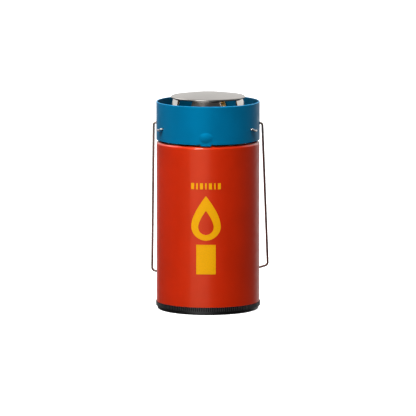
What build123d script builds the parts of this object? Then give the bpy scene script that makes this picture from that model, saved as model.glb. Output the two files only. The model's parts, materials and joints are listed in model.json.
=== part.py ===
from build123d import *
import math
import os

# A collapsed pocket candle lantern. Millimetres, +Z up, origin at the centre of the base's underside.
# The front is -Y. The wire bail hangs behind the case, at +Y.
# An azimuth is counted in degrees from the front, positive towards +X.

# ---- driving dimensions: case ----
CASE_R = 25.4
CASE_WALL = 0.8
CASE_LOW = 3.9
CASE_TOP = 83.6
CASE_SHOULDER = 1.6
CASE_MOUTH_R = 23.4
SLOT_WIDTH = 3.5
SLOT_END_R = 1.74
SLOT_LOW = 18.0
SLOT_TOP = 70.0

# ---- driving dimensions: base and its twist lock ----
BASE_FOOT_R = 25.0
BASE_FOOT_H = 1.8
BASE_FOOT_ROUND = 0.8
BASE_TOP = 3.8
RIB_CREST_R = 25.75
RIB_ROOT_R = 25.35
RIB_COUNT = 150
RIB_ROOT_END = 0.3
RIB_CREST_START = 0.45
RIB_CREST_END = 0.85
GROOVE_R = 15.0
GROOVE_WIDTH = 1.0
GROOVE_DEPTH = 0.4
COLLAR_R = 22.4
COLLAR_BORE_R = 17.4
COLLAR_PLATE = 0.7
COLLAR_TOP = 8.5
LUG_R = 23.6
LUG_LOW = 6.5
LUG_H = 1.5
LUG_ANGLE = 28.0
TAB_R = 22.7
TAB_LOW = 5.0
TAB_H = 1.2
TAB_ANGLE = 30.0
LOCK_RING_TOP = 9.0
LOCK_COUNT = 3
LOCK_OVERLAP = 0.2
SCREW_CIRCLE_R = 20.6
SCREW_R = 0.5
SCREW_HEAD_R = 0.95
SCREW_HEAD_H = 0.8
SCREW_LENGTH = 3.0
SCREW_SLOT_WIDTH = 0.3
SCREW_SLOT_DEPTH = 0.3

# ---- driving dimensions: candle, its tube and its cap ----
TUBE_R = 17.0
TUBE_WALL = 0.5
TUBE_LOW = 3.1
TUBE_TOP = 87.5
TUBE_FLANGE_R = 19.5
FLANGE_CLEARANCE = 0.3
FLOOR_LOW = 4.1
FLOOR_TOP = 4.7
SPRING_R = 13.3
SPRING_WIRE_R = 0.7
SPRING_TURNS = 4
PUSHER_LOW = 20.0
PUSHER_TOP = 21.5
PUSHER_R = 15.9
CANDLE_R = 15.8
CANDLE_SHOULDER = 88.9
CANDLE_TOP = 94.6
WICK_R = 0.75
WICK_TOP = 100.5
CAP_R = 17.9
CAP_WALL = 0.5
CAP_LOW = 82.0
CAP_SHOULDER = 88.0
CAP_HOLE_R = 9.6

# ---- driving dimensions: sliding chimney ----
RING_R = 25.5
RING_BORE_R = 24.8
RING_LOW = 84.2
RING_TOP = 103.0
RING_EDGE = 0.3
TONGUE_WIDTH = 5.3
TONGUE_DROP = 0.6
NOTCH_WIDTH = 0.8
NOTCH_H = 0.4
BUMP_SPHERE_R = 11.0
BUMP_RISE = 0.3
BUMP_Z = 87.6
BUMP_ANGLE = 24.0
SHEET = 0.5
FLANGE_LOW = 88.8
FLANGE_R = 24.7
BAND_R = 20.8
CONE_LOW = 95.0
CONE_TOP = 104.5
CONE_TOP_R = 16.9
WINDOW_LOW = 96.5
WINDOW_LOW_WIDTH = 8.2
WINDOW_TOP_WIDTH = 9.8
WINDOW_AZIMUTH = 39.5
LIP_WIDTH = 0.45
LIP_H = 0.45
EAR_TOP = 93.0
EAR_ANGLE = 12.0
FOOT_BORE_R = 16.45
FOOT_R = 17.15
FOOT_TOP = 104.95
FOOT_ANGLE = 42.0
DOME_R = 17.8
DOME_EDGE_Z = 105.35
DOME_APEX_Z = 107.35
DOME_HEM_R = 0.5
GLASS_R = 21.5
GLASS_BORE_R = 20.0
GLASS_LOW = 24.7
GLASS_TOP = 88.7
GLASS_EDGE = 0.5
CARRIER_BORE_R = 19.3
CARRIER_R = 24.3
CARRIER_RIM = 0.6
CARRIER_RIM_LOW = 20.6
CARRIER_LOW = 24.0
CARRIER_TOP = 24.6
CARRIER_COLLAR_TOP = 27.0
CLIP_WIDTH = 6.0
CLIP_SHEET = 0.3
CLIP_INSET = 0.2
CLIP_PAD_R = 24.1
CLIP_TOP = 23.8
CLIP_SEAT_LOW = 20.2
CLIP_PAD_TOP = 17.6
CLIP_PAD_LOW = 15.4
CLIP_LOW = 12.6
RIVET_R = 0.6
RIVET_HEAD_R = 1.1
RIVET_HEAD_H = 0.4
RIVET_Z = 22.3

# ---- driving dimensions: wires ----
FRAME_WIRE_R = 0.5
FRAME_WIRE_CIRCLE_R = 22.4
FRAME_WIRE_LOW = 22.9
FRAME_HOLE_Z = 90.6
FRAME_HOLE_R = 0.65
FRAME_HOLE_AZIMUTH = 58.5
FRAME_TOP_BEND = 1.5
FRAME_LOW_BEND = 1.1
STUB_R = 26.3
STUB_BEND_AZIMUTH = 63.5
STUB_TIP_AZIMUTH = 67.0
STUB_Z = 89.6
STUB_ROOT_BEND = 0.9
STUB_BEND = 1.2
BAIL_WIRE_R = 0.6
BAIL_HOLE_R = 0.68
BAIL_PIVOT_Z = 92.2
BAIL_END_X = 23.0
BAIL_TOP_X = 26.75
BAIL_CORNER_X = 28.7
BAIL_LEFT_LENGTH = 79.8
BAIL_RIGHT_LENGTH = 79.2
BAIL_MIDDLE_LENGTH = 87.2
BAIL_LEAN = 18.0
BAIL_SKEW = 2.0
BAIL_TOP_BEND = 1.2
BAIL_CORNER_BEND = 2.0
BAIL_MIDDLE_BEND = 4.0
BAIL_STOP_R = 1.0
BAIL_STOP_H = 0.8

# How far a cutting block passes the face it cuts, and how far a joined block sinks in.
PAST = 1.0
SINK = 0.1

WINDOW_AZIMUTHS = (WINDOW_AZIMUTH, 180 - WINDOW_AZIMUTH, 180 + WINDOW_AZIMUTH, 360 - WINDOW_AZIMUTH)
LEG_AZIMUTHS = (0, 90, 180, 270)
FRAME_HOLE_AZIMUTHS = (-FRAME_HOLE_AZIMUTH, FRAME_HOLE_AZIMUTH,
                       FRAME_HOLE_AZIMUTH - 180, 180 - FRAME_HOLE_AZIMUTH)
UPWARD = (Align.CENTER, Align.CENTER, Align.MIN)


# ---- helpers ----
def rod(radius, low, high):
    """A round bar on the axis, between two heights."""
    return Pos(0, 0, low) * Cylinder(radius, high - low, align=UPWARD)


def pipe(outer, inner, low, high):
    """A round wall on the axis, between two heights."""
    return rod(outer, low, high) - rod(inner, low - PAST, high + PAST)


def turned(outline):
    """A body of revolution from its closed (radius, height) outline."""
    return revolve(Plane.XZ * make_face(Polyline(*outline, close=True)), Axis.Z)


def polar(radius, azimuth, z):
    """The point at a radius, an azimuth and a height."""
    angle = math.radians(azimuth)
    return Vector(radius * math.sin(angle), -radius * math.cos(angle), z)


def radial_rod(radius, azimuth, z, inner, outer):
    """A round bar that points away from the axis."""
    start = polar(inner, azimuth, z)
    plane = Plane(origin=start, z_dir=polar(1, azimuth, 0))
    return plane * Cylinder(radius, outer - inner, align=UPWARD)


def radial_box(width, azimuth, inner, outer, low, high):
    """A block that points away from the axis."""
    block = Box(width, outer - inner, high - low, align=(Align.CENTER, Align.MAX, Align.MIN))
    return Rot(0, 0, azimuth) * Pos(0, -inner, low) * block


def arc_block(outer, inner, low, high, azimuth, angle):
    """A piece of a round wall that spans an angle."""
    reach = outer * 2
    half = math.radians(angle / 2)
    corners = [(0, 0), (-reach * math.sin(half), -reach * math.cos(half)),
               (reach * math.sin(half), -reach * math.cos(half))]
    wedge = extrude(make_face(Polyline(*corners, close=True)), high - low + 2 * PAST)
    wedge = Pos(0, 0, low - PAST) * wedge
    return pipe(outer, inner, low, high) & (Rot(0, 0, azimuth) * wedge)


def wire(points, radii, wire_r):
    """A round wire along straight runs joined by bends."""
    path = FilletPolyline(*points, radius=radii)
    section = Plane(origin=path @ 0, z_dir=path % 0) * Circle(wire_r)
    return sweep(section, path=path)


def on_circle(shape, count, start=0.0):
    """Copies of a shape spread evenly round the axis."""
    return [Rot(0, 0, start + 360 * i / count) * shape for i in range(count)]


def thumb_slot(radius):
    """A block that cuts the round-ended slot through the back of a wall of this radius."""
    slot = radial_box(SLOT_WIDTH, 180, radius - 2 * PAST, radius + PAST, SLOT_LOW, SLOT_TOP)
    return fillet(slot.edges().filter_by(Axis.Y), SLOT_END_R)


# ---- case ----
def make_case_tube():
    bore_r = CASE_R - CASE_WALL
    outside = rod(CASE_R, CASE_LOW, CASE_TOP)
    outside = fillet(outside.edges().group_by(Axis.Z)[-1], CASE_SHOULDER)
    inside = rod(bore_r, CASE_LOW - PAST, CASE_TOP - CASE_WALL)
    inside = fillet(inside.edges().group_by(Axis.Z)[-1], CASE_SHOULDER - CASE_WALL)
    mouth = rod(CASE_MOUTH_R, CASE_TOP - CASE_WALL - PAST, CASE_TOP + PAST)
    return outside - inside - mouth - thumb_slot(CASE_R)


def make_bayonet_ring():
    bore_r = CASE_R - CASE_WALL
    wall = pipe(bore_r, bore_r - CASE_WALL, TAB_LOW, LOCK_RING_TOP)
    tab = arc_block(bore_r - LOCK_OVERLAP, TAB_R, TAB_LOW, TAB_LOW + TAB_H, 0, TAB_ANGLE)
    for copy in on_circle(tab, LOCK_COUNT):
        wall = wall + copy
    return wall


# ---- base ----
def make_base_cap():
    foot = rod(BASE_FOOT_R, 0, BASE_FOOT_H + SINK)
    foot = fillet(foot.edges().group_by(Axis.Z)[0], BASE_FOOT_ROUND)
    step = 360 / RIB_COUNT
    outline = []
    for i in range(RIB_COUNT):
        outline.append(polar(RIB_ROOT_R, i * step, BASE_FOOT_H))
        outline.append(polar(RIB_ROOT_R, (i + RIB_ROOT_END) * step, BASE_FOOT_H))
        outline.append(polar(RIB_CREST_R, (i + RIB_CREST_START) * step, BASE_FOOT_H))
        outline.append(polar(RIB_CREST_R, (i + RIB_CREST_END) * step, BASE_FOOT_H))
    ribbed = extrude(make_face(Polyline(*outline, close=True)), BASE_TOP - BASE_FOOT_H, dir=(0, 0, 1))
    recess_r = TUBE_FLANGE_R + FLANGE_CLEARANCE
    recess = rod(recess_r, TUBE_LOW - FLANGE_CLEARANCE, BASE_TOP + PAST)
    groove = pipe(GROOVE_R + GROOVE_WIDTH, GROOVE_R, -PAST, GROOVE_DEPTH)
    cap = foot + ribbed - recess - groove
    hole = Pos(0, -SCREW_CIRCLE_R, 0) * rod(SCREW_R, BASE_TOP + COLLAR_PLATE - SCREW_LENGTH, BASE_TOP + PAST)
    for copy in on_circle(hole, LOCK_COUNT, 60):
        cap = cap - copy
    return cap


def make_bayonet_collar():
    collar = pipe(COLLAR_R, COLLAR_BORE_R, BASE_TOP, BASE_TOP + COLLAR_PLATE)
    collar = collar + pipe(COLLAR_R, COLLAR_R - COLLAR_PLATE, BASE_TOP, COLLAR_TOP)
    lug = arc_block(LUG_R, COLLAR_R - LOCK_OVERLAP, LUG_LOW, LUG_LOW + LUG_H, 0, LUG_ANGLE)
    for copy in on_circle(lug, LOCK_COUNT):
        collar = collar + copy
    hole = Pos(0, -SCREW_CIRCLE_R, 0) * rod(SCREW_R, BASE_TOP - PAST, BASE_TOP + COLLAR_PLATE + PAST)
    for copy in on_circle(hole, LOCK_COUNT, 60):
        collar = collar - copy
    return collar


def make_base_screws():
    seat = BASE_TOP + COLLAR_PLATE
    screw = rod(SCREW_R, seat - SCREW_LENGTH, seat) + rod(SCREW_HEAD_R, seat, seat + SCREW_HEAD_H)
    slot = Pos(0, 0, seat + SCREW_HEAD_H) * Box(2 * SCREW_HEAD_R, SCREW_SLOT_WIDTH, 2 * SCREW_SLOT_DEPTH)
    screw = Pos(0, -SCREW_CIRCLE_R, 0) * (screw - slot)
    return Compound(children=on_circle(screw, LOCK_COUNT, 60))


# ---- candle unit ----
def make_candle_tube():
    tube = pipe(TUBE_R, TUBE_R - TUBE_WALL, TUBE_LOW, TUBE_TOP)
    flange = pipe(TUBE_FLANGE_R, TUBE_R - TUBE_WALL, TUBE_LOW, TUBE_LOW + TUBE_WALL)
    return tube + flange - thumb_slot(TUBE_R)


def make_tube_floor():
    return rod(TUBE_R - TUBE_WALL, FLOOR_LOW, FLOOR_TOP)


def make_candle_spring():
    height = PUSHER_LOW - FLOOR_TOP - 2 * SPRING_WIRE_R
    path = Helix(pitch=height / SPRING_TURNS, height=height, radius=SPRING_R)
    section = Plane(origin=path @ 0, z_dir=path % 0) * Circle(SPRING_WIRE_R)
    coil = sweep(section, path=path, is_frenet=True)
    return Pos(0, 0, FLOOR_TOP + SPRING_WIRE_R) * coil


def make_pusher_plate():
    return rod(PUSHER_R, PUSHER_LOW, PUSHER_TOP)


def make_candle():
    top_r = CANDLE_R - (CANDLE_TOP - CANDLE_SHOULDER)
    outline = [(WICK_R, PUSHER_TOP), (CANDLE_R, PUSHER_TOP), (CANDLE_R, CANDLE_SHOULDER),
               (top_r, CANDLE_TOP), (WICK_R, CANDLE_TOP)]
    return turned(outline)


def make_wick():
    return rod(WICK_R, PUSHER_TOP, WICK_TOP)


def make_candle_cap():
    slant = CAP_WALL * math.sqrt(2)
    top = CAP_SHOULDER + CAP_R - CAP_HOLE_R
    inner_r = CAP_R - CAP_WALL
    outline = [(inner_r, CAP_LOW), (CAP_R, CAP_LOW), (CAP_R, CAP_SHOULDER), (CAP_HOLE_R, top),
               (CAP_HOLE_R, top - slant), (inner_r, CAP_SHOULDER + CAP_WALL - slant)]
    return turned(outline)


# ---- sliding chimney ----
def make_top_ring():
    ring = pipe(RING_R, RING_BORE_R, RING_LOW, RING_TOP)
    ring = fillet(ring.edges().group_by(Axis.Z)[-1], RING_EDGE)
    tongue_angle = math.degrees(TONGUE_WIDTH / RING_R)
    ring = ring + arc_block(RING_R, RING_BORE_R, RING_LOW - TONGUE_DROP, RING_LOW + SINK, 0, tongue_angle)
    inner = RING_BORE_R - PAST
    outer = RING_R + PAST
    notch = radial_box(NOTCH_WIDTH, 0, inner, outer, RING_LOW - PAST, RING_LOW + NOTCH_H)
    for side in (-1, 1):
        ring = ring - Pos(side * (TONGUE_WIDTH + NOTCH_WIDTH) / 2, 0, 0) * notch
    bump = Pos(0, BUMP_SPHERE_R - RING_R - BUMP_RISE, BUMP_Z) * Sphere(BUMP_SPHERE_R)
    band = arc_block(outer, RING_BORE_R + SINK, RING_LOW, RING_TOP, 0, BUMP_ANGLE)
    ring = ring + (bump & band)
    for azimuth in FRAME_HOLE_AZIMUTHS:
        ring = ring - radial_rod(FRAME_HOLE_R, azimuth, FRAME_HOLE_Z, inner, outer)
    for azimuth in (-90, 90):
        ring = ring - radial_rod(BAIL_HOLE_R, azimuth, BAIL_PIVOT_Z, inner, outer)
    return ring


def window_block(margin):
    """A block that cuts one vent window through the skirt's front, widened by a margin."""
    low = WINDOW_LOW - margin
    high = CONE_TOP + PAST
    low_half = WINDOW_LOW_WIDTH / 2 + margin
    top_half = WINDOW_TOP_WIDTH / 2 + margin
    window = Polyline((-low_half, low), (low_half, low), (top_half, high), (-top_half, high), close=True)
    return extrude(Plane.XZ * make_face(window), BAND_R + 5 * PAST)


def make_vent_skirt():
    skirt = turned([
        (FLANGE_R, FLANGE_LOW), (FLANGE_R, FLANGE_LOW + SHEET), (BAND_R, FLANGE_LOW + SHEET),
        (BAND_R, CONE_LOW), (CONE_TOP_R, CONE_TOP), (CONE_TOP_R - SHEET, CONE_TOP),
        (BAND_R - SHEET, CONE_LOW), (BAND_R - SHEET, FLANGE_LOW)])
    lip_cone = turned([
        (BAND_R - SHEET / 2, CONE_LOW), (BAND_R + LIP_H, CONE_LOW),
        (CONE_TOP_R + LIP_H, CONE_TOP), (CONE_TOP_R - SHEET / 2, CONE_TOP)])
    for azimuth in WINDOW_AZIMUTHS:
        skirt = skirt + (lip_cone & Rot(0, 0, azimuth) * window_block(LIP_WIDTH))
    for azimuth in WINDOW_AZIMUTHS:
        skirt = skirt - Rot(0, 0, azimuth) * window_block(0)
    for azimuth in FRAME_HOLE_AZIMUTHS:
        ear = arc_block(FLANGE_R, FLANGE_R - SHEET, FLANGE_LOW, EAR_TOP, azimuth, EAR_ANGLE)
        skirt = skirt + ear
        inner = FLANGE_R - SHEET - PAST
        skirt = skirt - radial_rod(FRAME_HOLE_R, azimuth, FRAME_HOLE_Z, inner, FLANGE_R + PAST)
        centre = polar(FRAME_WIRE_CIRCLE_R, azimuth, 0)
        hole = rod(FRAME_HOLE_R, FLANGE_LOW - PAST, FLANGE_LOW + SHEET + PAST)
        skirt = skirt - Pos(centre.X, centre.Y, 0) * hole
    for azimuth in LEG_AZIMUTHS:
        skirt = skirt + arc_block(FOOT_R, FOOT_BORE_R, CONE_TOP - SINK, FOOT_TOP, azimuth, FOOT_ANGLE)
    return skirt


def make_heat_shield_dome():
    rise = DOME_APEX_Z - DOME_EDGE_Z
    sphere_r = (DOME_R ** 2 + rise ** 2) / (2 * rise)
    centre_z = DOME_APEX_Z - sphere_r
    shell = Pos(0, 0, centre_z) * (Sphere(sphere_r) - Sphere(sphere_r - SHEET))
    dome = shell & rod(DOME_R, DOME_EDGE_Z - SHEET - PAST, DOME_APEX_Z + PAST)
    hem = Pos(0, 0, DOME_EDGE_Z - SHEET / 2) * Torus(DOME_R, DOME_HEM_R)
    return dome + hem


def make_glass_chimney():
    glass = pipe(GLASS_R, GLASS_BORE_R, GLASS_LOW, GLASS_TOP)
    return fillet(glass.edges().group_by(Axis.Z)[-1], GLASS_EDGE)


def make_glass_carrier():
    carrier = turned([
        (CARRIER_BORE_R, CARRIER_LOW), (CARRIER_R - CARRIER_RIM, CARRIER_LOW),
        (CARRIER_R - CARRIER_RIM, CARRIER_RIM_LOW), (CARRIER_R, CARRIER_RIM_LOW),
        (CARRIER_R, CARRIER_TOP), (CARRIER_BORE_R + SHEET, CARRIER_TOP),
        (CARRIER_BORE_R + SHEET, CARRIER_COLLAR_TOP), (CARRIER_BORE_R, CARRIER_COLLAR_TOP)])
    for azimuth in FRAME_HOLE_AZIMUTHS:
        centre = polar(FRAME_WIRE_CIRCLE_R, azimuth, 0)
        hole = rod(FRAME_HOLE_R, CARRIER_LOW - PAST, CARRIER_TOP + PAST)
        carrier = carrier - Pos(centre.X, centre.Y, 0) * hole
    inner = CARRIER_R - CARRIER_RIM - PAST
    for azimuth in (0, 180):
        carrier = carrier - radial_rod(RIVET_R, azimuth, RIVET_Z, inner, CARRIER_R + PAST)
    return carrier


def make_frame_wire(side):
    front = side * FRAME_HOLE_AZIMUTH
    back = side * (180 - FRAME_HOLE_AZIMUTH)
    points = [
        polar(STUB_R, side * STUB_TIP_AZIMUTH, STUB_Z),
        polar(STUB_R, side * STUB_BEND_AZIMUTH, STUB_Z),
        polar(STUB_R, front, FRAME_HOLE_Z),
        polar(FRAME_WIRE_CIRCLE_R, front, FRAME_HOLE_Z),
        polar(FRAME_WIRE_CIRCLE_R, front, FRAME_WIRE_LOW),
        polar(FRAME_WIRE_CIRCLE_R, back, FRAME_WIRE_LOW),
        polar(FRAME_WIRE_CIRCLE_R, back, FRAME_HOLE_Z),
        polar(STUB_R, back, FRAME_HOLE_Z),
        polar(STUB_R, side * (180 - STUB_BEND_AZIMUTH), STUB_Z),
        polar(STUB_R, side * (180 - STUB_TIP_AZIMUTH), STUB_Z)]
    half = [STUB_BEND, STUB_ROOT_BEND, FRAME_TOP_BEND, FRAME_LOW_BEND]
    return wire(points, half + half[::-1], FRAME_WIRE_R)


def make_slide_springs():
    seat = CARRIER_R - CARRIER_RIM - CLIP_INSET
    outline = [(seat, CLIP_TOP), (seat, CLIP_SEAT_LOW), (CLIP_PAD_R, CLIP_PAD_TOP),
               (CLIP_PAD_R, CLIP_PAD_LOW), (seat, CLIP_LOW)]
    outline += [(r - CLIP_SHEET, z) for r, z in reversed(outline)]
    strip = extrude(Plane.YZ * make_face(Polyline(*outline, close=True)), CLIP_WIDTH / 2, both=True)
    strip = strip - radial_rod(RIVET_R, 180, RIVET_Z, seat - CLIP_SHEET - PAST, seat + PAST)
    return Compound(children=[strip, Rot(0, 0, 180) * strip])


def make_spring_rivets():
    inner = CARRIER_R - CARRIER_RIM - CLIP_INSET - CLIP_SHEET
    rivet = radial_rod(RIVET_R, 0, RIVET_Z, inner, CARRIER_R)
    rivet = rivet + radial_rod(RIVET_HEAD_R, 0, RIVET_Z, inner - RIVET_HEAD_H, inner)
    return Compound(children=[rivet, Rot(0, 0, 180) * rivet])


# ---- bail ----
def make_bail_handle():
    def hanging(x, length, lean):
        angle = math.radians(lean)
        return Vector(x, length * math.sin(angle), BAIL_PIVOT_Z - length * math.cos(angle))

    points = [
        Vector(-BAIL_END_X, 0, BAIL_PIVOT_Z),
        Vector(-BAIL_TOP_X, 0, BAIL_PIVOT_Z),
        hanging(-BAIL_CORNER_X, BAIL_LEFT_LENGTH, BAIL_LEAN - BAIL_SKEW),
        hanging(0, BAIL_MIDDLE_LENGTH, BAIL_LEAN),
        hanging(BAIL_CORNER_X, BAIL_RIGHT_LENGTH, BAIL_LEAN + BAIL_SKEW),
        Vector(BAIL_TOP_X, 0, BAIL_PIVOT_Z),
        Vector(BAIL_END_X, 0, BAIL_PIVOT_Z)]
    bends = [BAIL_TOP_BEND, BAIL_CORNER_BEND, BAIL_MIDDLE_BEND, BAIL_CORNER_BEND, BAIL_TOP_BEND]
    bail = wire(points, bends, BAIL_WIRE_R)
    for azimuth in (-90, 90):
        bail = bail + radial_rod(BAIL_STOP_R, azimuth, BAIL_PIVOT_Z, BAIL_END_X, BAIL_END_X + BAIL_STOP_H)
    return bail


PIECES = {
    "case_tube": make_case_tube,
    "bayonet_ring": make_bayonet_ring,
    "base_cap": make_base_cap,
    "bayonet_collar": make_bayonet_collar,
    "base_screws": make_base_screws,
    "candle_tube": make_candle_tube,
    "tube_floor": make_tube_floor,
    "candle_spring": make_candle_spring,
    "pusher_plate": make_pusher_plate,
    "candle": make_candle,
    "wick": make_wick,
    "candle_cap": make_candle_cap,
    "top_ring": make_top_ring,
    "vent_skirt": make_vent_skirt,
    "heat_shield_dome": make_heat_shield_dome,
    "glass_chimney": make_glass_chimney,
    "glass_carrier": make_glass_carrier,
    "frame_wire_left": lambda: make_frame_wire(-1),
    "frame_wire_right": lambda: make_frame_wire(1),
    "slide_springs": make_slide_springs,
    "spring_rivets": make_spring_rivets,
    "bail_handle": make_bail_handle,
}

os.makedirs("parts", exist_ok=True)
for name, make in PIECES.items():
    export_step(make(), f"parts/{name}.step")
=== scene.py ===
import json
import math

import bmesh
import bpy
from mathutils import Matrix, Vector, noise


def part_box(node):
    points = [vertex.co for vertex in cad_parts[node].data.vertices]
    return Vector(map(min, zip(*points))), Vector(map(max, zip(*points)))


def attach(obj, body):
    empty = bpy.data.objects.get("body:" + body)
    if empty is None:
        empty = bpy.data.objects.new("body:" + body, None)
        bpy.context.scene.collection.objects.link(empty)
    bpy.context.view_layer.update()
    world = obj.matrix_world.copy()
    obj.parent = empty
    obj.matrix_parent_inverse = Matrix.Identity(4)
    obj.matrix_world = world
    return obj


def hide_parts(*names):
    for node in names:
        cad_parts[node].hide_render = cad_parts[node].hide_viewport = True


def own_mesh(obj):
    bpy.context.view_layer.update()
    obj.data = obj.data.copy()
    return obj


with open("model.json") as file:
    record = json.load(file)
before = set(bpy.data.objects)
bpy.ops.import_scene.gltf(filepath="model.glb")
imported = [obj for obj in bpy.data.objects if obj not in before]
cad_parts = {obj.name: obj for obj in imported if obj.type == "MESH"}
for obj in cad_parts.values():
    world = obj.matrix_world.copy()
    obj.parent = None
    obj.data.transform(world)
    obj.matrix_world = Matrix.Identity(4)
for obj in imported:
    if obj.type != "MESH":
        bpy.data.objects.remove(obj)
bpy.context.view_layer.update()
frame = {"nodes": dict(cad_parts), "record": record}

# A collapsed pocket candle lantern. Metres, +Z up, the front is -Y, the bail hangs at +Y.
MM = 0.001

# Where a material changes: a height on the case, and distances from the axis on the ring and base,
# which bound painted shade and painted highlight.
CASE_RIM = 82.3 * MM
# Inside this distance from the axis the ring's inner wall is painted darker as shade.
RING_PAINTED_SHADE_RADIUS = 24.9 * MM
# Between these radii the base's grooves are painted darker as shade and its rib crests painted lighter
# as highlight.
GROOVE_START = 25.05 * MM
GROOVE_END = 25.30 * MM
CREST_START = 25.50 * MM
CREST_END = 25.72 * MM

# Printed motif: a row of dashes over a flame over a candle.
PRINT_RADIUS = 25.4 * MM
PRINT_FILM = 0.03 * MM
DASHES = 7
DASH_PITCH = 2.2 * MM
WIDE_DASH = 1.5 * MM
THIN_DASH = 0.8 * MM
DASH_LOW = 62.4 * MM
DASH_HIGH = 65.4 * MM
FLAME_LOW = 37.0 * MM
FLAME_HIGH = 59.0 * MM
FLAME_WIDTH = 14.6 * MM
VOID_LOW = 39.8 * MM
VOID_HIGH = 51.8 * MM
VOID_WIDTH = 7.6 * MM
BLOCK_LOW = 20.4 * MM
BLOCK_HIGH = 35.0 * MM
BLOCK_WIDTH = 9.6 * MM

# Candle, wick and spring. The heights on the wick are in mm.
CANDLE_SIDES = 96
WICK_LOW = 21.5
WICK_TOP = 100.4
WICK_TURNS = 26
WICK_RINGS = 316
WICK_SIDES = 24
WICK_LEAN_START = 95.0
WICK_BURNT = 98.5
SPRING_WIRE_R = 0.7 * MM
SPRING_R = 13.3 * MM
SPRING_TURNS = 4
SPRING_STEPS = 96
SPRING_SIDES = 16

# Camera: far away with a long lens, a little to the right and above.
AIM = Vector((0.0, 0.0, 0.0498))
CAMERA_DISTANCE = 3.0
CAMERA_AZIMUTH = math.radians(2.3)
CAMERA_ELEVATION = math.radians(7.7)
CAMERA_LENS = 526.3
SENSOR = 36.0

# Light levels: the world behind and in front of the lantern, and the floor's own glow.
WORLD_BACK = 1.0
WORLD_FRONT = 0.06
WALL_TURN = math.radians(6)
FLOOR_GLOW = 1.0
FLOOR_HALF_WIDTH = 1.5
FLOOR_FRONT = 1.5
FLOOR_BACK = 4.0

# Paints and bare colours, linear.
RED = (0.64, 0.021, 0.0015)
BLUE = (0.0004, 0.157, 0.331)
BLACK = (0.006, 0.006, 0.0062)
INK = (1.0, 0.46, 0.003)


# ---- node helpers ----
class Shader:
    """One material: adds nodes to it and links them."""

    def __init__(self, name):
        self.material = bpy.data.materials.new(name)
        self.material.use_nodes = True
        self.tree = self.material.node_tree
        self.bsdf = self.tree.nodes["Principled BSDF"]
        self.coords = self.add("ShaderNodeTexCoord").outputs["Object"]

    def add(self, kind, **values):
        node = self.tree.nodes.new(kind)
        for key, value in values.items():
            setattr(node, key, value)
        return node

    def link(self, source, target):
        self.tree.links.new(source, target)

    def set(self, **values):
        for key, value in values.items():
            self.bsdf.inputs[key.replace("_", " ")].default_value = value

    def to(self, name, source):
        self.link(source, self.bsdf.inputs[name])

    def stretched(self, x, y, z):
        node = self.add("ShaderNodeMapping")
        self.link(self.coords, node.inputs["Vector"])
        node.inputs["Scale"].default_value = (x, y, z)
        return node.outputs["Vector"]

    def noise(self, scale, detail, vector=None):
        node = self.add("ShaderNodeTexNoise")
        self.link(vector or self.coords, node.inputs["Vector"])
        node.inputs["Scale"].default_value = scale
        node.inputs["Detail"].default_value = detail
        return node.outputs["Fac"]

    def spread(self, source, low, high, to_low=0.0, to_high=1.0):
        node = self.add("ShaderNodeMapRange")
        node.interpolation_type = "SMOOTHSTEP"
        self.link(source, node.inputs["Value"])
        node.inputs["From Min"].default_value = low
        node.inputs["From Max"].default_value = high
        node.inputs["To Min"].default_value = to_low
        node.inputs["To Max"].default_value = to_high
        return node.outputs["Result"]

    def math(self, kind, first, second):
        node = self.add("ShaderNodeMath", operation=kind)
        for socket, value in zip(node.inputs, (first, second)):
            if isinstance(value, (int, float)):
                socket.default_value = value
            else:
                self.link(value, socket)
        return node.outputs["Value"]

    def mix(self, factor, first, second):
        node = self.add("ShaderNodeMix", data_type="RGBA")
        self.link(factor, node.inputs["Factor"])
        for socket, value in zip((node.inputs[6], node.inputs[7]), (first, second)):
            if isinstance(value, tuple):
                socket.default_value = (*value[:3], 1.0)
            else:
                self.link(value, socket)
        return node.outputs[2]

    def bump(self, height, distance, strength=1.0, normal=None):
        node = self.add("ShaderNodeBump")
        self.link(height, node.inputs["Height"])
        node.inputs["Distance"].default_value = distance
        node.inputs["Strength"].default_value = strength
        if normal:
            self.link(normal, node.inputs["Normal"])
        return node.outputs["Normal"]

    def radius(self):
        """Distance from the lantern's axis."""
        flat = self.add("ShaderNodeVectorMath", operation="MULTIPLY")
        self.link(self.coords, flat.inputs[0])
        flat.inputs[1].default_value = (1, 1, 0)
        length = self.add("ShaderNodeVectorMath", operation="LENGTH")
        self.link(flat.outputs["Vector"], length.inputs[0])
        return length.outputs["Value"]

    def height(self):
        split = self.add("ShaderNodeSeparateXYZ")
        self.link(self.coords, split.inputs["Vector"])
        return split.outputs["Z"]

    def edges(self, reach):
        """1 on sharp edges, 0 on smooth faces."""
        bevel = self.add("ShaderNodeBevel", samples=4)
        bevel.inputs["Radius"].default_value = reach
        geometry = self.add("ShaderNodeNewGeometry")
        dot = self.add("ShaderNodeVectorMath", operation="DOT_PRODUCT")
        self.link(bevel.outputs["Normal"], dot.inputs[0])
        self.link(geometry.outputs["Normal"], dot.inputs[1])
        return self.spread(dot.outputs["Value"], 0.97, 0.80)


def shade(color, factor):
    return tuple(min(1.0, c * factor) for c in color[:3])


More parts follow.
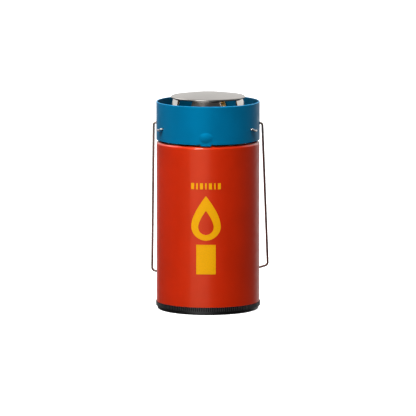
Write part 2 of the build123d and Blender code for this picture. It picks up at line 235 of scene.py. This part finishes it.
# ---- materials ----
def powder_coat(name, color, roughness, flop, coat, painted_shade_radius=None, rim=None):
    """Baked powder paint: faint orange peel, uneven gloss and rubbed edges.
    flop tints the sheen; inside the radius given for it, the colour is darkened as painted shade of the
    inner wall;
    above the height rim the coat has flowed thick and shiny round the edge."""
    s = Shader(name)
    tone = s.mix(s.spread(s.noise(60, 3), 0.3, 0.7), shade(color, 0.95), shade(color, 1.05))
    if painted_shade_radius:
        # painted shade: inside the given radius the paint colour drops to 0.3 to stand in for the shade
        # on the ring's inner wall
        outer = s.spread(s.radius(), painted_shade_radius, painted_shade_radius + 0.2 * MM)
        tone = s.mix(outer, shade(color, 0.30), tone)
    rub = s.math("MULTIPLY", s.edges(0.25 * MM), s.spread(s.noise(900, 3), 0.35, 0.7))
    pale = tuple(c * 0.7 + 0.10 for c in color)
    s.to("Base Color", s.mix(s.math("MULTIPLY", rub, 0.55), tone, pale))
    s.to("Roughness", s.spread(s.noise(300, 4), 0.25, 0.75, roughness - 0.05, roughness + 0.06))
    peel = s.bump(s.noise(1300, 2), 0.02 * MM, 0.35)
    s.to("Normal", s.bump(s.noise(9000, 2), 0.004 * MM, 0.4, peel))
    s.set(IOR=1.45, Specular_IOR_Level=0.5, Specular_Tint=(*flop, 1.0),
          Coat_Weight=coat, Coat_Roughness=0.07)
    if rim:
        s.to("Coat Weight", s.spread(s.height(), rim - 0.3 * MM, rim, coat, 1.0))
    return s.material


def moulded_black(name):
    """Fine-grained black plastic: dull rough grooves between slightly shiny ribs; the grooves are
    painted darker as shade and the rib crests painted lighter as highlight.
    """
    s = Shader(name)
    dust = s.spread(s.noise(500, 4), 0.5, 0.8)
    worn = s.math("MULTIPLY", s.edges(0.2 * MM), 0.3)
    base = s.mix(s.math("MULTIPLY", dust, 0.25), BLACK, shade(BLACK, 2.6))
    band = s.spread(s.radius(), GROOVE_START, GROOVE_END)
    crest = s.spread(s.radius(), CREST_START, CREST_END)
    # painted shade in the grooves and painted highlight on the rib crests
    with_painted_groove_shade = s.mix(band, base, shade(BLACK, 0.15))
    with_painted_rib_light = s.mix(crest, with_painted_groove_shade, shade(BLACK, 4.0))
    s.to("Base Color", s.mix(worn, with_painted_rib_light, (0.055, 0.056, 0.057)))
    groove = s.math("SUBTRACT", band, crest)
    s.to("Roughness", s.math("MAXIMUM", s.spread(s.noise(700, 3), 0.3, 0.7, 0.34, 0.48), groove))
    s.to("Normal", s.bump(s.noise(5200, 3), 0.012 * MM, 0.5))
    s.set(Specular_IOR_Level=0.45)
    return s.material


def bare_metal(name, color, roughness, grain, depth=0.003, tint=0.08, metallic=1.0):
    """Metal with a directional grain: grain is the stretch of the lines along x, y and z."""
    s = Shader(name)
    lines = s.noise(1.0, 3, s.stretched(*grain))
    blotch = s.spread(s.noise(140, 3), 0.3, 0.7)
    s.to("Base Color", s.mix(blotch, shade(color, 1 - tint), shade(color, 1 + tint)))
    s.to("Roughness", s.spread(lines, 0.2, 0.8, roughness - 0.07, roughness + 0.10))
    s.to("Normal", s.bump(lines, depth * MM, 0.6))
    s.set(Metallic=metallic)
    return s.material


def spun_metal(name, color, roughness, pitch=0.16, depth=0.004):
    """Metal turned on a lathe: fine rings about the lantern's axis."""
    s = Shader(name)
    rings = s.add("ShaderNodeTexNoise", noise_dimensions="1D")
    s.link(s.radius(), rings.inputs["W"])
    rings.inputs["Scale"].default_value = 1 / (pitch * MM)
    rings.inputs["Detail"].default_value = 3
    fac = rings.outputs["Fac"]
    smear = s.spread(s.noise(110, 4), 0.35, 0.75)
    s.to("Base Color", s.mix(smear, shade(color, 0.93), shade(color, 1.05)))
    s.to("Roughness", s.math("ADD", s.spread(fac, 0.2, 0.8, roughness - 0.05, roughness + 0.07),
                             s.math("MULTIPLY", smear, 0.05)))
    s.to("Normal", s.bump(fac, depth * MM, 0.5))
    s.set(Metallic=1.0)
    return s.material


def clear_glass(name):
    s = Shader(name)
    smudge = s.spread(s.noise(70, 4), 0.45, 0.75)
    s.to("Roughness", s.spread(smudge, 0, 1, 0.01, 0.07))
    s.to("Normal", s.bump(s.noise(60, 2), 0.03 * MM, 0.2))
    s.set(Base_Color=(0.95, 0.98, 0.97, 1.0), IOR=1.47, Transmission_Weight=1.0)
    return s.material


def candle_wax(name):
    s = Shader(name)
    cloud = s.spread(s.noise(160, 4), 0.3, 0.7)
    s.to("Base Color", s.mix(cloud, (0.84, 0.80, 0.69), (0.92, 0.89, 0.80)))
    s.to("Roughness", s.spread(s.noise(350, 3), 0.3, 0.7, 0.38, 0.55))
    s.to("Normal", s.bump(s.noise(800, 3), 0.03 * MM, 0.3))
    s.set(Subsurface_Weight=0.25, Subsurface_Radius=(0.004, 0.003, 0.002), IOR=1.44)
    return s.material


def cotton(name):
    s = Shader(name)
    wave = s.add("ShaderNodeTexWave", wave_type="BANDS", bands_direction="DIAGONAL")
    s.link(s.coords, wave.inputs["Vector"])
    wave.inputs["Scale"].default_value = 900
    wave.inputs["Distortion"].default_value = 1.5
    clean = s.mix(wave.outputs["Fac"], (0.45, 0.40, 0.32), (0.80, 0.76, 0.66))
    burnt = s.spread(s.height(), WICK_LEAN_START * MM, WICK_BURNT * MM)
    s.to("Base Color", s.mix(burnt, clean, (0.012, 0.010, 0.009)))
    s.to("Normal", s.bump(wave.outputs["Fac"], 0.08 * MM, 0.7))
    s.set(Roughness=0.85, Sheen_Weight=0.3)
    return s.material


def screen_ink(name):
    """Printed ink: flat colour with a slightly ragged film."""
    s = Shader(name)
    film = s.spread(s.noise(1500, 4), 0.3, 0.7)
    s.to("Base Color", s.mix(film, shade(INK, 0.92), INK))
    s.to("Roughness", s.spread(s.noise(700, 3), 0.3, 0.7, 0.36, 0.48))
    s.to("Normal", s.bump(s.noise(2600, 2), 0.006 * MM, 0.4))
    s.set(IOR=1.45, Specular_IOR_Level=0.3, Specular_Tint=(1.0, 0.75, 0.3, 1.0))
    return s.material


def studio_floor(name):
    s = Shader(name)
    mottle = s.spread(s.noise(3, 4), 0.3, 0.7)
    s.to("Base Color", s.mix(mottle, (0.60, 0.60, 0.60), (0.64, 0.64, 0.64)))
    s.set(Roughness=0.7, Emission_Color=(1, 1, 1, 1), Emission_Strength=FLOOR_GLOW)
    return s.material


MATERIALS = {
    "case_paint": powder_coat("case_paint", RED, 0.42, (1.0, 0.75, 0.35), 0.12, rim=CASE_RIM),
    "ring_paint": powder_coat("ring_paint", BLUE, 0.42, (0.0, 0.6, 1.0), 0.0, painted_shade_radius=RING_PAINTED_SHADE_RADIUS),
    "base_plastic": moulded_black("base_plastic"),
    "dome_steel": spun_metal("dome_steel", (0.50, 0.475, 0.445), 0.34),
    "skirt_steel": bare_metal("skirt_steel", (0.62, 0.585, 0.545), 0.14, (2600, 2600, 160), 0.0002),
    "wire_steel": bare_metal("wire_steel", (0.36, 0.285, 0.245), 0.50, (1500, 1500, 40), metallic=0.5),
    # painted highlight: the frame's wire takes a paler colour than the bail wire's steel, because its
    # ends catch the light
    "frame_steel": bare_metal("frame_steel", (0.72, 0.69, 0.65), 0.26, (1500, 1500, 40)),
    "spring_steel": bare_metal("spring_steel", (0.42, 0.42, 0.43), 0.28, (700, 700, 700)),
    "zinc_steel": bare_metal("zinc_steel", (0.60, 0.60, 0.57), 0.38, (500, 500, 500), tint=0.12),
    "screw_steel": bare_metal("screw_steel", (0.55, 0.55, 0.56), 0.25, (800, 800, 200)),
    "tube_aluminium": bare_metal("tube_aluminium", (0.78, 0.78, 0.79), 0.30, (1200, 1200, 30)),
    "cap_brass": spun_metal("cap_brass", (0.72, 0.50, 0.20), 0.28),
    "chimney_glass": clear_glass("chimney_glass"),
    "wax": candle_wax("wax"),
    "wick_cotton": cotton("wick_cotton"),
}


def dress_nodes():
    """Gives every CAD node the material of its record slot."""
    for entry in frame["record"]["subparts"]:
        node = frame["nodes"][entry["node"]]
        node.data.materials.clear()
        node.data.materials.append(MATERIALS[entry["material_slot"]])


# ---- printed motif on the case ----
def wrap(radius, across, height):
    """A point on the case's front, from its distance round the wall and its height."""
    angle = across / radius
    return Vector((radius * math.sin(angle), -radius * math.cos(angle), height))


def printed_strip(mesh, low, high, rows, span):
    """Adds one closed film of ink; span(t) gives its left and right edges at t from 0 to 1."""
    columns = 8
    layers = []
    for radius in (PRINT_RADIUS - PRINT_FILM, PRINT_RADIUS + PRINT_FILM):
        grid = []
        for row in range(rows + 1):
            t = row / rows
            left, right = span(t)
            height = low + (high - low) * t
            line = [mesh.verts.new(wrap(radius, left + (right - left) * c / columns, height))
                    for c in range(columns + 1)]
            grid.append(line)
        layers.append(grid)
    inner, outer = layers
    rim = []
    for row in range(rows):
        for c in range(columns):
            mesh.faces.new((outer[row][c], outer[row][c + 1], outer[row + 1][c + 1], outer[row + 1][c]))
            mesh.faces.new((inner[row][c + 1], inner[row][c], inner[row + 1][c], inner[row + 1][c + 1]))
        for c, flip in ((0, False), (columns, True)):
            side = (inner[row][c], outer[row][c], outer[row + 1][c], inner[row + 1][c])
            rim.append(mesh.faces.new(side[::-1] if flip else side))
    for row, flip in ((0, False), (rows, True)):
        for c in range(columns):
            side = (inner[row][c], inner[row][c + 1], outer[row][c + 1], outer[row][c])
            rim.append(mesh.faces.new(side[::-1] if flip else side))
    for face in rim:
        for edge in face.edges:
            edge.smooth = False


def make_object(name, mesh, material, smooth=True):
    data = bpy.data.meshes.new(name)
    mesh.to_mesh(data)
    mesh.free()
    data.materials.append(material)
    for face in data.polygons:
        face.use_smooth = smooth
    piece = bpy.data.objects.new(name, data)
    bpy.context.scene.collection.objects.link(piece)
    return piece


def flame_half_width(t, width):
    """Half the width of a flame at t from its foot to its tip."""
    return width * 0.5 * math.sin(math.pi * t ** 0.62) ** 0.9 if 0 < t < 1 else 0.0


def make_print():
    """A plain flame over a candle and a row of dashes: no letters."""
    mesh = bmesh.new()
    for i in range(DASHES):
        centre = (i - DASHES // 2) * DASH_PITCH
        half = (WIDE_DASH if i % 2 == 0 else THIN_DASH) / 2
        printed_strip(mesh, DASH_LOW, DASH_HIGH, 2, lambda t: (centre - half, centre + half))
    for side in (-1, 1):
        def lobe(t):
            height = FLAME_LOW + (FLAME_HIGH - FLAME_LOW) * t
            outer = flame_half_width(t, FLAME_WIDTH)
            inner = flame_half_width((height - VOID_LOW) / (VOID_HIGH - VOID_LOW), VOID_WIDTH)
            return (inner, outer) if side > 0 else (-outer, -inner)
        printed_strip(mesh, FLAME_LOW, FLAME_HIGH, 64, lobe)
    printed_strip(mesh, BLOCK_LOW, BLOCK_HIGH, 4, lambda t: (-BLOCK_WIDTH / 2, BLOCK_WIDTH / 2))
    bmesh.ops.remove_doubles(mesh, verts=mesh.verts, dist=1e-7)
    piece = make_object("printed_flame", mesh, screen_ink("screen_ink"))
    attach(piece, "case")


# ---- candle and wick ----
def skin(rings, closed):
    """A skin over rings of points; closed joins the last ring to the first, else the ends get caps."""
    mesh = bmesh.new()
    rows = [[mesh.verts.new(point) for point in ring] for ring in rings]
    count = len(rows[0])
    for i in range(len(rows) if closed else len(rows) - 1):
        low, high = rows[i], rows[(i + 1) % len(rows)]
        for j in range(count):
            k = (j + 1) % count
            mesh.faces.new((low[j], low[k], high[k], high[j]))
    if not closed:
        mesh.faces.new(rows[0][::-1])
        mesh.faces.new(rows[-1])
    bmesh.ops.recalc_face_normals(mesh, faces=mesh.faces)
    return mesh


def make_candle():
    """The candle with a soft shoulder and the shallow dish that its first burning left."""
    outline = [(0.8, 21.5), (15.5, 21.5), (15.78, 21.6), (15.8, 22.0), (15.8, 88.3), (15.78, 88.7),
               (15.62, 89.0), (15.3, 89.35), (11.0, 93.7), (10.5, 94.2), (10.1, 94.5), (9.7, 94.55),
               (9.3, 94.35), (8.9, 93.9), (8.0, 93.55), (6.0, 93.3), (4.0, 93.2), (2.2, 93.25),
               (1.4, 93.5), (1.0, 93.8), (0.8, 93.85)]
    rings = []
    for radius, height in outline:
        ring = []
        for j in range(CANDLE_SIDES):
            angle = 2 * math.pi * j / CANDLE_SIDES
            spot = Vector((math.cos(angle), math.sin(angle), 0))
            sag = 0.0
            if height > 93 and radius > 0.9:
                sag = noise.noise(spot * 1.7 + Vector((0, 0, radius)))
            melted = height + min(0.05, 0.25 * sag)
            ring.append((radius * MM * spot.x, radius * MM * spot.y, melted * MM))
        rings.append(ring)
    piece = make_object("candle_wax", skin(rings, True), MATERIALS["wax"])
    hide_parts("candle")
    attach(piece, "candle_stack")


def make_wick():
    """Three twisted strands that lean a little where they have burnt."""
    rings = []
    for i in range(WICK_RINGS):
        t = i / (WICK_RINGS - 1)
        height = WICK_LOW + (WICK_TOP - WICK_LOW) * t
        lean = 0.45 * max(0.0, (height - WICK_LEAN_START) / (WICK_TOP - WICK_LEAN_START)) ** 2
        burnt = 1 - 0.25 * max(0.0, (height - WICK_BURNT) / (WICK_TOP - WICK_BURNT))
        ring = []
        for j in range(WICK_SIDES):
            angle = 2 * math.pi * j / WICK_SIDES
            lobes = 0.64 + 0.10 * math.cos(3 * (angle - 2 * math.pi * WICK_TURNS * t))
            ring.append(((lobes * burnt * math.cos(angle) - lean) * MM,
                         lobes * burnt * math.sin(angle) * MM, height * MM))
        rings.append(ring)
    piece = make_object("braided_wick", skin(rings, False), MATERIALS["wick_cotton"])
    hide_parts("wick")
    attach(piece, "candle_stack")


def make_spring():
    """The spring under the candle, its end turns nearly closed."""
    low, high = (corner[2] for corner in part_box("candle_spring"))
    rise = high - low - 2 * SPRING_WIRE_R
    rings = []
    for i in range(SPRING_TURNS * SPRING_STEPS + 1):
        t = i / (SPRING_TURNS * SPRING_STEPS)
        angle = 2 * math.pi * SPRING_TURNS * t
        climb = t - 0.5 * math.sin(2 * math.pi * t) / (2 * math.pi)
        height = low + SPRING_WIRE_R + rise * climb
        out = Vector((math.cos(angle), math.sin(angle), 0))
        ring = []
        for j in range(SPRING_SIDES):
            turn = 2 * math.pi * j / SPRING_SIDES
            across = out * (SPRING_R + SPRING_WIRE_R * math.cos(turn))
            ring.append((across.x, across.y, height + SPRING_WIRE_R * math.sin(turn)))
        rings.append(ring)
    piece = make_object("coil_spring", skin(rings, False), MATERIALS["spring_steel"])
    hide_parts("candle_spring")
    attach(piece, "candle_unit")
    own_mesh(piece)


# ---- studio ----
def make_floor():
    mesh = bmesh.new()
    corners = [(-FLOOR_HALF_WIDTH, -FLOOR_FRONT, 0), (FLOOR_HALF_WIDTH, -FLOOR_FRONT, 0),
               (FLOOR_HALF_WIDTH, FLOOR_BACK, 0), (-FLOOR_HALF_WIDTH, FLOOR_BACK, 0)]
    mesh.faces.new([mesh.verts.new(corner) for corner in corners])
    floor = make_object("studio_floor", mesh, studio_floor("studio_floor"))
    floor.location.z = -0.05 * MM
    floor.visible_glossy = False
    floor.visible_diffuse = False


def add_area(name, azimuth, elevation, distance, size, power, diffuse=True, shine=True):
    """A soft square light aimed at the lantern; azimuth 0 is the front, positive to the right."""
    light = bpy.data.lights.new(name, "AREA")
    light.size = size
    light.energy = power
    lamp = bpy.data.objects.new(name, light)
    a, e = math.radians(azimuth), math.radians(elevation)
    towards = Vector((math.sin(a) * math.cos(e), -math.cos(a) * math.cos(e), math.sin(e)))
    lamp.location = AIM + towards * distance
    lamp.rotation_euler = towards.to_track_quat("Z", "Y").to_euler()
    lamp.visible_diffuse = diffuse
    lamp.visible_glossy = shine
    bpy.context.scene.collection.objects.link(lamp)


def make_world():
    """A white wall behind the lantern in a dim room; the camera itself sees white all round."""
    world = bpy.data.worlds.new("studio")
    world.use_nodes = True
    tree = world.node_tree

    def add(kind, **values):
        node = tree.nodes.new(kind)
        for key, value in values.items():
            setattr(node, key, value)
        return node

    def ramp(source, low, high):
        node = add("ShaderNodeMapRange", interpolation_type="SMOOTHSTEP")
        tree.links.new(source, node.inputs["Value"])
        node.inputs["From Min"].default_value = low
        node.inputs["From Max"].default_value = high
        return node.outputs["Result"]

    def combine(kind, first, second):
        node = add("ShaderNodeMath", operation=kind)
        tree.links.new(first, node.inputs[0])
        tree.links.new(second, node.inputs[1])
        return node.outputs["Value"]

    coords = add("ShaderNodeTexCoord").outputs["Generated"]
    facing = add("ShaderNodeVectorMath", operation="DOT_PRODUCT")
    facing.inputs[1].default_value = (math.sin(WALL_TURN), math.cos(WALL_TURN), 0)
    split = add("ShaderNodeSeparateXYZ")
    tree.links.new(coords, facing.inputs[0])
    tree.links.new(coords, split.inputs["Vector"])
    low_wall = ramp(facing.outputs["Value"], 0.70, 0.92)
    high_wall = combine("MULTIPLY", ramp(facing.outputs["Value"], 0.05, 0.40),
                        ramp(split.outputs["Z"], 0.0, 0.12))
    level = add("ShaderNodeMapRange")
    tree.links.new(combine("MAXIMUM", low_wall, high_wall), level.inputs["Value"])
    level.inputs["To Min"].default_value = WORLD_FRONT
    level.inputs["To Max"].default_value = WORLD_BACK
    path = add("ShaderNodeLightPath")
    background = tree.nodes["Background"]
    background.inputs["Color"].default_value = (1, 1, 1, 1)
    tree.links.new(combine("MAXIMUM", level.outputs["Result"], path.outputs["Is Camera Ray"]),
                   background.inputs["Strength"])
    bpy.context.scene.world = world
    bpy.context.scene.view_settings.view_transform = "Standard"


def make_camera():
    data = bpy.data.cameras.new("camera")
    data.lens = CAMERA_LENS
    data.sensor_width = SENSOR
    data.clip_end = 50
    camera = bpy.data.objects.new("camera", data)
    towards = Vector((math.sin(CAMERA_AZIMUTH) * math.cos(CAMERA_ELEVATION),
                      -math.cos(CAMERA_AZIMUTH) * math.cos(CAMERA_ELEVATION),
                      math.sin(CAMERA_ELEVATION)))
    camera.location = AIM + towards * CAMERA_DISTANCE
    camera.rotation_euler = towards.to_track_quat("Z", "Y").to_euler()
    bpy.context.scene.collection.objects.link(camera)
    bpy.context.scene.camera = camera


dress_nodes()
make_print()
make_candle()
make_wick()
make_spring()
make_floor()
make_world()
add_area("key_light", -21, 68, 1.4, 0.9, 52, shine=False)
add_area("front_sheen", -16, -4, 1.5, 1.2, 7, diffuse=False)
add_area("side_shine", -95, 35, 1.4, 0.8, 7, diffuse=False)
add_area("rim_shine", -18, 20, 1.4, 0.40, 9, diffuse=False)
make_camera()
